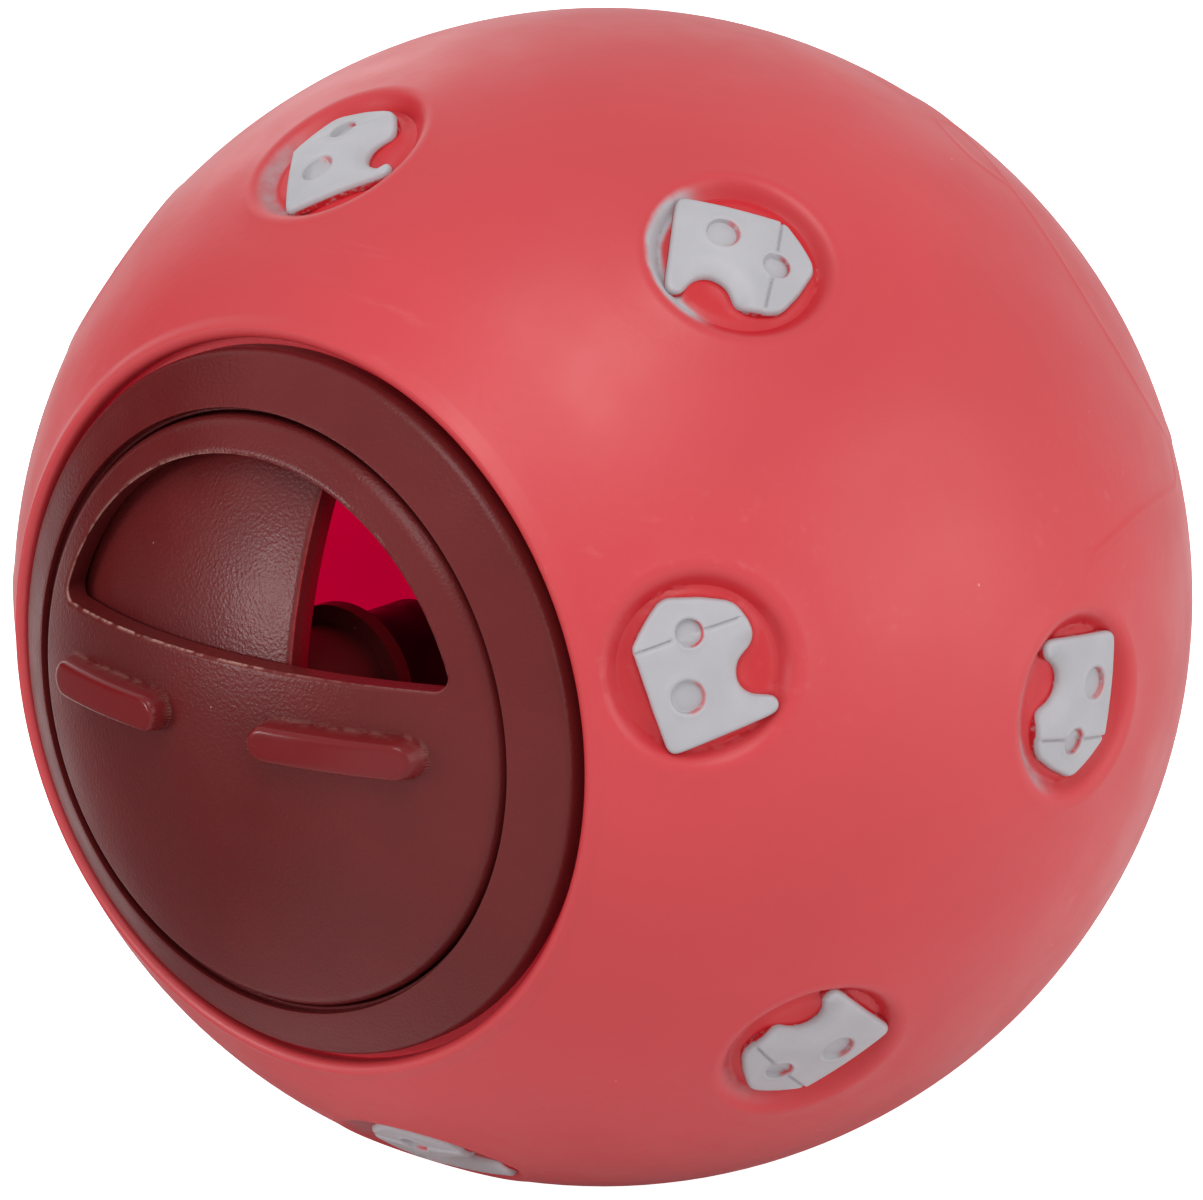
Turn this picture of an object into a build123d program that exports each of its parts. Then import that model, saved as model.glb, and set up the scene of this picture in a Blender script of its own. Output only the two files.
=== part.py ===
# Treat dispensing ball: a soft hollow ball whose mouth holds a hard insert with a turning dial.
# Millimetres. The origin is the ball's centre, +Z is up and the mouth faces -Y.
# Around the mouth, r is the distance from its axis and t the distance from the ball's centre,
# positive out through the mouth.
import os
from math import asin, degrees, hypot, sqrt

from build123d import *

# Ball: soft vinyl skin with a rounded lip round the mouth
ball_diameter = 70.0
ball_wall = 2.0
lip_width = 1.4
lip_rise = 0.35
mouth_gap = 0.5

# Neck: the inward tube of the skin that the insert snaps into
neck_length = 5.8
neck_wall = 1.9
neck_clearance = 0.1

# Insert: domed flange, skirt and snap bead
collar_face = 2.8
collar_sink = 0.3
collar_edge_round = 0.45
flange_height = 1.45
flange_ledge = 0.6
skirt_wall = 2.0
snap_reach = 0.7
snap_length = 1.8
snap_clearance = 0.05

# Fixed plate behind the dial, with its half-moon port
plate_wall = 1.5
port_rim = 2.0
port_margin = 0.1

# Dial: domed disc with a half-moon window
dial_diameter = 34.6
dial_sink = 0.4
dial_wall = 1.4
dial_gap = 0.25
dial_edge_gap = 0.6
dial_edge_round = 0.3
window_rim = 2.0
window_sill = 4.3
moon_corner = 0.7

# Finger ribs, in line across the dial
rib_length = 10.0
rib_width = 2.1
rib_rise = 1.4
rib_margin = 3.8
rib_lift = 0.4

# Pivot: stem on the dial, hub on the plate, washer and screw behind them
stem_diameter = 5.1
stem_clearance = 0.05
hub_diameter = 7.8
hub_length = 7.45
thrust_diameter = 6.8
thrust_play = 0.05
washer_diameter = 9.9
washer_thickness = 1.0
washer_hole_clearance = 0.2
screw_diameter = 2.6
screw_length = 8.0
screw_pilot_clearance = 0.02
screw_pilot_spare = 0.5
screw_head_diameter = 7.4
screw_head_height = 6.6
screw_head_edge = 6.1
cross_length = 3.6
cross_width = 0.9
cross_depth = 1.2

# Cheese figures and the pockets that they stand in
pocket_margin = 0.3
pocket_depth = 1.05
cheese_sink = 0.1
cheese_corner = 0.4
dimple_depth = 0.35
facet_width = 0.25
facet_depth = 0.15
plain_dimple = (-0.65, -1.6)
plain_dimple_diameter = 1.9
facet_dimple = (-0.65, 2.0)
facet_dimple_diameter = 1.7
facet_start = (-3.7, 0.85)
facet_end = (2.0, 2.8)
bite_top = (3.1, 1.6)
bite_middle = (2.2, -0.3)
bite_bottom = (3.4, -1.5)
cheese_edge = [(4.5, -1.5), (4.65, -2.3), (-1.5, -4.9), (-3.8, 1.0), (-2.4, 3.65), (0.1, 4.05), (2.0, 3.65)]

# Where each figure sits: degrees clockwise round the mouth from the top, distance over the skin
# from the lip's outer edge, and degrees that the figure is turned on the skin
cheese_spots = [
    (-10.4, 12.2, 7),
    (36.5, 18.7, -69.5),
    (77, 5.6, 78),
    (90, 31.0, 238.5),
    (126.6, 17.2, 217.5),
    (176, 11.2, 157),
    (216, 18.0, 15),
    (261, 6.0, -60),
    (306, 16.4, 160),
    (200, 39.6, 250),
    (265, 34.7, 85),
    (335, 39.6, -30),
]

# Radii and domes that follow from the sizes above
ball_radius = ball_diameter / 2
ball_inner = ball_radius - ball_wall
dial_radius = dial_diameter / 2
recess_radius = dial_radius + dial_edge_gap
collar_radius = recess_radius + collar_face
collar_dome = ball_radius - collar_sink
mouth_radius = collar_radius + mouth_gap
lip_outer = mouth_radius + lip_width
body_radius = collar_radius - flange_ledge
neck_bore = body_radius + neck_clearance
neck_outer = neck_bore + neck_wall
skirt_inner = body_radius - skirt_wall
dial_dome = ball_radius - dial_sink
dial_inner = dial_dome - dial_wall
window_radius = dial_radius - window_rim
port_radius = dial_radius - port_rim
plate_dome = dial_inner - dial_gap
plate_inner = plate_dome - plate_wall
rib_dome = dial_dome + rib_rise
rib_middle = dial_radius - rib_margin - rib_length / 2
stem_radius = stem_diameter / 2
hub_bore = stem_radius + stem_clearance
hub_radius = hub_diameter / 2
port_sill = hub_radius + port_margin
thrust_radius = thrust_diameter / 2
washer_radius = washer_diameter / 2
screw_radius = screw_diameter / 2
screw_pilot = screw_radius + screw_pilot_clearance
screw_head = screw_head_diameter / 2
cheese_dome = ball_radius - cheese_sink
pocket_floor = ball_radius - pocket_depth
pocket_radius = max(hypot(*corner) for corner in cheese_edge) + pocket_margin


def dome_height(dome, r):
    """Distance t of a dome about the ball's centre, at r from the mouth's axis."""
    return sqrt(dome**2 - r**2)


# Places along the mouth's axis
seat_t = dome_height(collar_dome, collar_radius) - flange_height
neck_end = seat_t - neck_length
snap_top = neck_end - snap_clearance
skirt_end = snap_top - snap_length
thrust_t = dome_height(dial_inner, thrust_radius)
hub_end = plate_inner - hub_length
stem_end = hub_end - thrust_play
washer_back = stem_end - washer_thickness
screw_tip = washer_back + screw_length
pilot_end = screw_tip + screw_pilot_spare

# Planes: the half section through the mouth's axis (r, t), the view into the mouth with +Z up,
# and the same view with +X up
section = Plane(origin=(0, 0, 0), x_dir=(1, 0, 0), z_dir=(0, 0, -1))
front = Plane(origin=(0, 0, 0), x_dir=(1, 0, 0), z_dir=(0, -1, 0))
front_sideways = Plane(origin=(0, 0, 0), x_dir=(0, 0, -1), z_dir=(0, -1, 0))


def spot_plane(around, beyond, turn):
    """Plane through the ball's centre that faces out through a place on the skin."""
    away = degrees(asin(lip_outer / ball_radius) + beyond / ball_radius)
    return Plane(Rot(0, around, 0) * Rot(-away, 0, 0) * front.location * Rot(0, 0, turn))


def dome_arc(dome, r_from, r_to):
    """Arc of a dome about the ball's centre, between two distances from the mouth's axis."""
    r_mid = (r_from + r_to) / 2
    ends = [(r, dome_height(dome, r)) for r in (r_from, r_mid, r_to)]
    return ThreePointArc(*ends)


def half_moon(radius, sill):
    """Half-moon above a straight sill, with rounded corners, drawn in the open sketch."""
    Circle(radius)
    with Locations((0, sill)):
        Rectangle(2 * radius, 4 * radius, align=(Align.CENTER, Align.MAX), mode=Mode.SUBTRACT)
    fillet(vertices(), moon_corner)


def save(piece, name):
    """Label a finished piece and write it as its own file."""
    piece.part.label = name
    export_step(piece.part, f"parts/{name}.step")


os.makedirs("parts", exist_ok=True)

# Ball shell: outer skin, lip bead, mouth step that seats the flange, neck and inner skin
lip_middle = mouth_radius + lip_width / 2
lip_top_scale = (ball_radius + lip_rise) / ball_radius
lip_top = (lip_middle * lip_top_scale, dome_height(ball_radius, lip_middle) * lip_top_scale)
lip_end_t = dome_height(ball_radius, mouth_radius) - lip_width / 2

with BuildPart() as ball_shell:
    with BuildSketch(section):
        with BuildLine():
            ThreePointArc((0, -ball_radius), (ball_radius, 0), (lip_outer, dome_height(ball_radius, lip_outer)))
            ThreePointArc((lip_outer, dome_height(ball_radius, lip_outer)), lip_top, (mouth_radius, lip_end_t))
            Polyline(
                (mouth_radius, lip_end_t),
                (mouth_radius, seat_t),
                (neck_bore, seat_t),
                (neck_bore, neck_end),
                (neck_outer, neck_end),
                (neck_outer, dome_height(ball_inner, neck_outer)),
            )
            ThreePointArc((neck_outer, dome_height(ball_inner, neck_outer)), (ball_inner, 0), (0, -ball_inner))
            Line((0, -ball_inner), (0, -ball_radius))
        make_face()
    revolve(axis=Axis.Y)
    for spot in cheese_spots:
        with BuildSketch(spot_plane(*spot).offset(pocket_floor)):
            Circle(pocket_radius)
        extrude(amount=2 * pocket_depth, mode=Mode.SUBTRACT)
save(ball_shell, "ball_shell")

# Cheese figures: flat base on the pocket's floor, domed face level with the skin, facet line cut in
for number, spot in enumerate(cheese_spots, start=1):
    spot_face = spot_plane(*spot)
    with BuildPart() as facet_cut:
        with BuildSketch(spot_face):
            with BuildLine():
                Line(facet_start, facet_end)
            trace(line_width=facet_width)
        extrude(amount=2 * ball_radius)
        Sphere(radius=cheese_dome - facet_depth, mode=Mode.SUBTRACT)
    with BuildPart() as cheese:
        with BuildSketch(spot_face.offset(pocket_floor)):
            with BuildLine():
                ThreePointArc(bite_top, bite_middle, bite_bottom)
                Polyline(bite_bottom, *cheese_edge, bite_top)
            make_face()
            fillet(vertices(), cheese_corner)
        extrude(amount=2 * pocket_depth)
        Sphere(radius=cheese_dome, mode=Mode.INTERSECT)
        with BuildSketch(spot_face.offset(cheese_dome - dimple_depth)):
            with Locations(plain_dimple):
                Circle(plain_dimple_diameter / 2)
            with Locations(facet_dimple):
                Circle(facet_dimple_diameter / 2)
        extrude(amount=2 * dimple_depth, mode=Mode.SUBTRACT)
        add(facet_cut.part, mode=Mode.SUBTRACT)
    save(cheese, f"cheese_{number}")

# Insert: flange, recess for the dial, fixed plate with its thrust pad and hub, skirt and snap bead
pad_t = thrust_t - thrust_play
snap_radius = neck_bore + snap_reach

with BuildPart() as collar_insert:
    with BuildSketch(section) as insert_half:
        with BuildLine():
            dome_arc(collar_dome, recess_radius, collar_radius)
            Polyline(
                (collar_radius, dome_height(collar_dome, collar_radius)),
                (collar_radius, seat_t),
                (body_radius, seat_t),
                (body_radius, snap_top),
                (snap_radius, snap_top),
                (body_radius, skirt_end),
                (skirt_inner, skirt_end),
                (skirt_inner, dome_height(plate_inner, skirt_inner)),
            )
            dome_arc(plate_inner, skirt_inner, hub_radius)
            Polyline(
                (hub_radius, dome_height(plate_inner, hub_radius)),
                (hub_radius, hub_end),
                (hub_bore, hub_end),
                (hub_bore, pad_t),
                (thrust_radius, pad_t),
                (thrust_radius, dome_height(plate_dome, thrust_radius)),
            )
            dome_arc(plate_dome, thrust_radius, recess_radius)
            Line(
                (recess_radius, dome_height(plate_dome, recess_radius)),
                (recess_radius, dome_height(collar_dome, recess_radius)),
            )
        make_face()
        rim = (collar_radius, dome_height(collar_dome, collar_radius))
        fillet(insert_half.vertices().sort_by_distance(rim)[0], collar_edge_round)
    revolve(axis=Axis.Y)
    with BuildSketch(front_sideways):
        half_moon(port_radius, port_sill)
    extrude(amount=ball_radius, mode=Mode.SUBTRACT)
save(collar_insert, "collar_insert")

# Dial: finger ribs by themselves, then the domed disc with its stem and window, and the ribs on it
with BuildPart() as finger_ribs:
    with BuildSketch(front):
        with Locations((-rib_middle, rib_lift), (rib_middle, rib_lift)):
            SlotOverall(rib_length, rib_width)
    extrude(amount=2 * ball_radius)
    Sphere(radius=rib_dome, mode=Mode.INTERSECT)
    Sphere(radius=dial_dome - dial_wall / 2, mode=Mode.SUBTRACT)

with BuildPart() as dial_disc:
    with BuildSketch(section) as dial_half:
        with BuildLine():
            dome_arc(dial_dome, 0, dial_radius)
            Line(
                (dial_radius, dome_height(dial_dome, dial_radius)),
                (dial_radius, dome_height(dial_inner, dial_radius)),
            )
            dome_arc(dial_inner, dial_radius, thrust_radius)
            Polyline(
                (thrust_radius, thrust_t),
                (stem_radius, thrust_t),
                (stem_radius, stem_end),
                (screw_pilot, stem_end),
                (screw_pilot, pilot_end),
                (0, pilot_end),
                (0, dial_dome),
            )
        make_face()
        rim = (dial_radius, dome_height(dial_dome, dial_radius))
        fillet(dial_half.vertices().sort_by_distance(rim)[0], dial_edge_round)
    revolve(axis=Axis.Y)
    with BuildSketch(front):
        half_moon(window_radius, window_sill)
    extrude(amount=2 * ball_radius, mode=Mode.SUBTRACT)
    add(finger_ribs.part)
save(dial_disc, "dial_disc")

# Washer on the stem's end
with BuildPart() as retaining_washer:
    with BuildSketch(front.offset(washer_back)):
        Circle(washer_radius)
        Circle(screw_radius + washer_hole_clearance, mode=Mode.SUBTRACT)
    extrude(amount=washer_thickness)
save(retaining_washer, "retaining_washer")

# Screw: tall cap head behind the washer, plain shank in the stem, cross recess
head_back = washer_back - screw_head_height

with BuildPart() as pivot_screw:
    with BuildSketch(section):
        with BuildLine():
            TangentArc((0, head_back), (screw_head, washer_back - screw_head_edge), tangent=(1, 0))
            Polyline(
                (screw_head, washer_back - screw_head_edge),
                (screw_head, washer_back),
                (screw_radius, washer_back),
                (screw_radius, screw_tip - screw_radius),
                (0, screw_tip),
                (0, head_back),
            )
        make_face()
    revolve(axis=Axis.Y)
    with BuildSketch(front.offset(head_back)):
        Rectangle(cross_length, cross_width)
        Rectangle(cross_width, cross_length)
    extrude(amount=cross_depth, mode=Mode.SUBTRACT)
save(pivot_screw, "pivot_screw")
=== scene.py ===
"""Treat dispensing ball: dresses the packed solids of a soft ball whose mouth holds a turning dial."""
from cmath import exp as turned, phase
from math import asin, atan2, ceil, cos, pi, radians, sin, sqrt
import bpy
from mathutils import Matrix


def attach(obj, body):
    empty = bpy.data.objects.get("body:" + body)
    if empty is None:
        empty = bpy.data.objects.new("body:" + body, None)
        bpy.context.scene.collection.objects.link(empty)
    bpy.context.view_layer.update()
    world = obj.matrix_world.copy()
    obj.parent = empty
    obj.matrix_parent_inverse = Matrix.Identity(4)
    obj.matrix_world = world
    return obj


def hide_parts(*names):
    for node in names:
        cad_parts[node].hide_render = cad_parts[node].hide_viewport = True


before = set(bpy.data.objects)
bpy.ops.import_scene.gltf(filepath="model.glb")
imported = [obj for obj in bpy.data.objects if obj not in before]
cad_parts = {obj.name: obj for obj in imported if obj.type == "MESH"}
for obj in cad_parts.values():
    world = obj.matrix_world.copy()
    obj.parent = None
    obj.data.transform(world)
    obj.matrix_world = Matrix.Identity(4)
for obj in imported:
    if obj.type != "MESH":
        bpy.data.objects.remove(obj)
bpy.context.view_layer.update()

from types import SimpleNamespace

import bmesh
import bpy
import numpy as np
from bpy.props import FloatProperty, FloatVectorProperty, PointerProperty
from bpy.types import NodeSocket, Operator, Panel, PropertyGroup
from mathutils import Matrix, Vector, kdtree
from mathutils.geometry import delaunay_2d_cdt

bl_info = {
    "name": "Treat Dispensing Ball",
    "version": (1, 0, 0),
    "blender": (4, 5, 0),
    "location": "3D View > Sidebar > Treat Ball",
    "description": "Makes the visible pieces of a soft treat dispensing ball with a turning dial",
    "category": "Object",
}

# Shapes are worked out in millimetres and made in metres
MM = 0.001

# Across the mouth, x is right and y up. Round its axis, r is the distance from the axis and t the
# distance from the ball's centre, positive out through the mouth, which faces -Y. The columns here
# are the mouth's own right, up and outward.
FRONT = np.array([[1.0, 0.0, 0.0], [0.0, 0.0, -1.0], [0.0, 1.0, 0.0]])

# Points round the rims of the mouth and round the hub, and the share of the hub's radius that the
# straight stretches between its points stay outside
RIM_STEPS = 288
HUB_STEPS = 48
HUB_CHORD = 0.997

# Degrees between faces that meet in a sharp edge
SHARP_EDGE = 35

# Plays in millimetres: round the skirt, between faces that bear on each other, and round the dial
NECK_PLAY = 0.1
BEARING_PLAY = 0.05
LEDGE_PLAY = 0.12

# Bearing pad round the dial's stem and the screw's hole in that stem, in millimetres
PAD_RADIUS = 3.4
PILOT_RADIUS = 1.32
PILOT_END = 31.45

# How far the figures' paint and the plastic's pale burrs reach down the sides, in millimetres
PAINT_DROP = 0.1
BURR_DROP = 0.12

# Cheese figure in its own flat frame: its outline, the bite in it, two dimples and a facet line in
# two strokes
CHEESE_EDGE = [
    (-2.42, 3.56), (-2.82, 2.98), (-3.21, 2.3), (-3.7, 1.25), (-3.8, 1.0), (-3.74, 0.75),
    (-2.46, -2.6), (-1.8, -4.2), (-1.57, -4.7), (-1.25, -4.88), (-0.9, -4.8), (-0.08, -4.46),
    (3.83, -2.75), (4.33, -2.5), (4.57, -2.26), (4.62, -1.97), (4.5, -1.68), (4.24, -1.48),
    (3.77, -1.46), (3.18, -1.45), (2.76, -1.3), (2.41, -1.02), (2.18, -0.61), (2.12, -0.03),
    (2.23, 0.46), (2.51, 0.87), (2.87, 1.28), (3.0, 1.69), (2.93, 2.17), (2.67, 2.74),
    (2.28, 3.27), (1.86, 3.65), (1.36, 3.81), (-0.05, 3.94), (-1.94, 3.85),
]
BITE = [(3.0, 1.4), (2.12, -0.1), (3.3, -1.45)]
DIMPLES = [((-0.65, -1.6), 1.0), ((-0.67, 1.97), 0.82)]
FACET = [((-3.75, 0.68), (-1.6, 1.52)), ((0.25, 2.2), (2.2, 2.88))]

# Each figure: degrees clockwise round the mouth from the top, millimetres over the skin from the
# lip's outer edge, and degrees that the figure is turned on the skin
CHEESE_SPOTS = [
    (-10.4, 12.2, 7),
    (36.5, 18.7, -69.5),
    (77, 5.6, 78),
    (90, 31.0, 238.5),
    (126.6, 17.2, 217.5),
    (176, 11.2, 157),
    (216, 18.0, 15),
    (261, 6.0, -60),
    (306, 16.4, 160),
    (200, 39.6, 250),
    (265, 34.7, 85),
    (335, 39.6, -30),
]

# How strong the stray paint is on each figure's pocket wall, the side of the pockets that it lies
# on, and the side of the dimples that is bare
STRAY_PAINT = [0.45, 1.0, 0.15, 0.5, 0.25, 0.35, 0.6, 0.3, 0.7, 0.3, 0.5, 0.4]
SPRAY_SIDE = np.array([-0.77, -0.64, -0.12])
BARE_SIDE = np.array([0.77, 0.64, -0.15])

# Cosine of the angle round a figure's middle within which the skin is shaped for its pocket
POCKET_VIEW = cos(0.3)

# Low raised outline of a plain mouse, in its own flat frame, with its place on the skin
MOUSE_SPOT = (42, 53.0, 0)
MOUSE_BODY = [(-14, 0), (-9, -5), (-2, -8.5), (6, -9), (12, -5), (13.5, 1), (9, 6), (0, 7.5), (-8, 5)]
MOUSE_EAR = [(-8.5, -5), (-8.5, -9), (-5, -10.5), (-2.5, -8.5)]
MOUSE_TAIL = [(13.3, -1), (16.5, -1.5), (18, -6), (19.5, -11), (21.8, -16.5)]

# Width of the picture, and how far the ball's centre lies right of and above its middle, in pixels
PICTURE_WIDTH = 1203
OFF_MIDDLE = (1.5, 3.0)

# Half the width of the floor, and the corners of the black card at the left of the stage, in metres
FLOOR_REACH = 4.0
CARD = [(-0.40, -0.34, -0.03), (-0.47, 0.07, -0.03), (-0.47, 0.07, 0.24), (-0.40, -0.34, 0.24)]

# Lights that are placed as the camera sees the ball: metres right of it, above it and in front of it,
# and width
LIGHTS = {
    "key_light": ((-0.05, 0.46, 0.52), 0.36),
    "back_light": ((-0.22, 0.42, -0.55), 0.3),
    "fill_light": ((0.60, 0.08, 0.32), 0.5),
}

# Place and width in metres of the light that the fixed plate mirrors
SIDE_LIGHT = (-0.29, -0.52, 0.06)
SIDE_WIDTH = 0.16


def length(name, millimetres, description):
    """Property for a size, given here in millimetres."""
    return FloatProperty(
        name=name, description=description, default=millimetres * MM, unit="LENGTH", precision=5
    )


def colour(name, value, description):
    """Property for a colour, as linear red, green and blue."""
    return FloatVectorProperty(
        name=name, description=description, default=value, subtype="COLOR", size=3, min=0.0, max=1.0
    )


def number(name, value, description):
    """Property for a plain number."""
    return FloatProperty(name=name, description=description, default=value, subtype="NONE")


def power(name, watts, description):
    """Property for a light's power."""
    return FloatProperty(name=name, description=description, default=watts, subtype="POWER")


def angle(name, degrees, description):
    """Property for an angle, given here in degrees."""
    return FloatProperty(name=name, description=description, default=radians(degrees), subtype="ANGLE")


class TreatBallSkin(PropertyGroup):
    """Soft ball: its skin, lip and neck"""

    radius: length("Radius", 35.0, "Radius of the ball")
    wall: length("Wall", 2.0, "Thickness of the skin")
    lip_width: length("Lip width", 1.4, "Width of the bead round the mouth")
    lip_rise: length("Lip rise", 0.2, "Height of the bead above the skin")
    lip_edge: length("Lip edge", 0.55, "Rounding of the lip into the mouth")
    mouth_gap: length("Mouth gap", 0.5, "Gap between the lip and the insert")
    neck_length: length("Neck length", 5.8, "Length of the tube that grips the insert")
    neck_wall: length("Neck wall", 1.9, "Thickness of that tube")
    ridge_height: length("Ridge height", 0.05, "Height of the raised mouse outline")
    ridge_width: length("Ridge width", 0.26, "Half the width of the raised line")
    waviness: length("Waviness", 0.05, "How far the soft skin departs from a true sphere")
    tone: colour("Skin", (0.442, 0.031, 0.038), "Colour of the vinyl")
    # Deeper red painted into the pockets, beside the raised outline and on the step into the mouth:
    # painted shade, and painted light through the thinner vinyl
    hollow_tone: colour("Hollows", (0.44, 0.010, 0.016), "Deeper colour of the vinyl in the pockets")
    # Colour of the inside, also given off as a painted glow for light through the skin
    inside_tone: colour("Inside", (0.48, 0.0, 0.046), "Colour of the vinyl with light through it")
    # Painted glow of light through the skin, given off in the gap round the insert
    gap_tone: colour("Gap", (0.1, 0.0, 0.004), "Light through the skin in the gap round the insert")


class TreatBallFigures(PropertyGroup):
    """Painted cheese figures and their pockets"""

    pocket_depth: length("Pocket depth", 1.05, "Depth of the pocket's flat floor")
    floor_radius: length("Floor radius", 4.55, "Radius at which the pocket's wall starts to rise")
    rim_radius: length("Rim radius", 5.8, "Radius at which the pocket's wall meets the skin")
    moat: length("Moat", 0.2, "How far the floor dips at the foot of the wall")
    base_step: length("Base step", 0.08, "Height of the step round the figure's base")
    sink: length("Sink", 0.1, "How far the figure's face lies below the ball's surface")
    edge_round: length("Edge round", 0.28, "Rounding of the figure's upper edge")
    dimple_depth: length("Dimple depth", 0.32, "Depth of the round dimples")
    facet_depth: length("Facet depth", 0.12, "Height of the step at the facet line")
    facet_groove: length("Facet groove", 0.11, "Depth of the groove at the foot of that step")
    bite_slope: length("Bite slope", 0.42, "How far the face drops at the bite")
    tone: colour("Paint", (0.335, 0.328, 0.348), "Colour of the paint")


class TreatBallInsert(PropertyGroup):
    """Hard insert in the mouth"""

    face: length("Face width", 2.8, "Width of the flange's face")
    sink: length("Sink", 0.3, "How far the flange lies below the ball's surface")
    edge_round: length("Edge round", 0.45, "Rounding of the flange's outer edge")
    flange_height: length("Flange height", 1.45, "Height of the flange's side")
    ledge: length("Ledge", 0.6, "How far the flange overhangs its skirt")
    skirt_wall: length("Skirt wall", 2.0, "Thickness of the skirt")
    snap_reach: length("Snap reach", 0.7, "How far the snap bead reaches under the neck")
    snap_length: length("Snap length", 1.8, "Length of the snap bead")
    plate_wall: length("Plate wall", 1.5, "Thickness of the fixed plate")
    port_rim: length("Port rim", 2.0, "Distance from the port's arc to the dial's edge line")
    hub_radius: length("Hub radius", 3.9, "Radius of the hub behind the plate")
    hub_length: length("Hub length", 7.45, "Length of the hub behind the plate")
    tone: colour("Plastic", (0.098, 0.0095, 0.010), "Colour of the hard plastic")


class TreatBallDial(PropertyGroup):
    """Turning dial"""

    radius: length("Radius", 17.3, "Radius of the dial")
    sink: length("Sink", 0.4, "How far the dial lies below the ball's surface")
    wall: length("Wall", 1.4, "Thickness of the dial")
    gap: length("Gap", 0.25, "Gap between the dial and the fixed plate")
    edge_gap: length("Edge gap", 0.6, "Groove between the dial and the flange")
    groove_width: length("Groove width", 0.36, "Visible width of that groove at the flange's edge")
    groove_depth: length("Groove depth", 0.55, "Depth of that groove")
    edge_round: length("Edge round", 0.7, "Rounding of the dial's edge")
    window_rim: length("Window rim", 2.0, "Width of the dial beside the window's arc")
    window_sill: length("Window sill", 4.3, "Height of the window's straight edge above the axis")
    moon_corner: length("Window corner", 0.7, "Rounding of the window's corners")
    rib_length: length("Rib length", 10.0, "Length of a finger rib")
    rib_width: length("Rib width", 2.1, "Width of a finger rib")
    rib_rise: length("Rib rise", 1.4, "Height of a finger rib")
    rib_edge: length("Rib edge", 0.35, "Rounding of a finger rib's edges")
    rib_margin: length("Rib margin", 3.8, "Distance from a rib's end to the dial's edge")
    rib_lift: length("Rib lift", 0.4, "Height of the ribs above the axis")
    stem_radius: length("Stem radius", 2.55, "Radius of the stem that turns in the hub")


class TreatBallStage(PropertyGroup):
    """Camera, floor and lights"""

    azimuth: angle("Azimuth", 39.6, "Turn of the camera from the mouth's front")
    elevation: angle("Elevation", 16.6, "Height of the camera as an angle")
    distance: length("Distance", 500.0, "Distance of the camera from the ball's centre")
    lens: number("Lens", 251.6, "Focal length in millimetres")
    floor_tone: colour("Floor", (0.85, 0.85, 0.85), "Colour of the floor under the white light")
    mirrored_tone: colour("Mirrored floor", (0.16, 0.16, 0.16), "The floor's left part in reflections")
    sky_light: number("Sky light", 0.87, "Strength of the even white light")
    key_light: power("Key light", 1.95, "Power of the large light above")
    side_light: power("Side light", 1.1, "Power of the light on the left")
    back_light: power("Back light", 0.32, "Power of the light behind")
    fill_light: power("Fill light", 1.6, "Power of the light on the right")


def in_mm(settings):
    """Lengths of a settings group, in millimetres."""
    known = settings.bl_rna.properties
    names = [name for name in type(settings).__annotations__ if known[name].unit == "LENGTH"]
    return SimpleNamespace(**{name: getattr(settings, name) / MM for name in names})


def smooth(low, high, x):
    """Smooth step from 0 at low to 1 at high."""
    k = np.clip((x - low) / (high - low), 0.0, 1.0)
    return k * k * (3.0 - 2.0 * k)


def bell(x, width):
    """Soft peak of height 1 at x = 0."""
    return np.exp(-np.square(x / width))


def rounding(inset, radius):
    """Drop of a rounded edge at a distance in from it."""
    k = np.clip(inset / radius, 0, 1)
    return radius * (1 - np.sqrt(1 - np.square(1 - k)))


def dome(radius, r):
    """Distance t of a dome about the ball's centre, at r from the mouth's axis."""
    return np.sqrt(radius**2 - np.square(r))


def worked_sizes(scene):
    """Radii from the mouth's axis, domes about the ball's centre and places on the axis."""
    skin, insert = in_mm(scene.treat_ball_skin), in_mm(scene.treat_ball_insert)
    dial = in_mm(scene.treat_ball_dial)
    s = SimpleNamespace()
    s.ball = skin.radius
    s.ball_inner = s.ball - skin.wall
    s.dial = dial.radius
    s.recess = s.dial + dial.edge_gap
    s.ledge = s.dial + LEDGE_PLAY
    s.flange_inner = s.dial + dial.groove_width
    s.collar = s.recess + insert.face
    s.mouth = s.collar + skin.mouth_gap
    s.lip_outer = s.mouth + skin.lip_width
    s.body = s.collar - insert.ledge
    s.neck_bore = s.body + NECK_PLAY
    s.neck_outer = s.neck_bore + skin.neck_wall
    s.skirt_inner = s.body - insert.skirt_wall
    s.collar_dome = s.ball - insert.sink
    s.dial_dome = s.ball - dial.sink
    s.dial_inner = s.dial_dome - dial.wall
    s.plate_dome = s.dial_inner - dial.gap
    s.plate_inner = s.plate_dome - insert.plate_wall
    s.window = s.dial - dial.window_rim
    s.port = s.dial - insert.port_rim
    s.hub = insert.hub_radius
    s.stem = dial.stem_radius
    s.seat_t = dome(s.collar_dome, s.collar) - insert.flange_height
    s.neck_end = s.seat_t - skin.neck_length
    s.snap_t = s.neck_end - BEARING_PLAY
    s.skirt_end = s.snap_t - insert.snap_length
    s.pad_t = dome(s.dial_inner, PAD_RADIUS)
    s.hub_end = s.plate_inner - insert.hub_length
    return s


def reach_of(points):
    """Distance of each point from the middle of its frame."""
    return np.linalg.norm(points, axis=1)


def spot_frame(around, beyond, turn, s):
    """Axes of a place on the skin, as columns: right, up and outward of a figure there."""
    away = asin(s.lip_outer / s.ball) + beyond / s.ball
    swing = Matrix.Rotation(radians(around), 3, "Y") @ Matrix.Rotation(-away, 3, "X")
    return np.array(swing) @ FRONT @ np.array(Matrix.Rotation(radians(turn), 3, "Z"))


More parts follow.
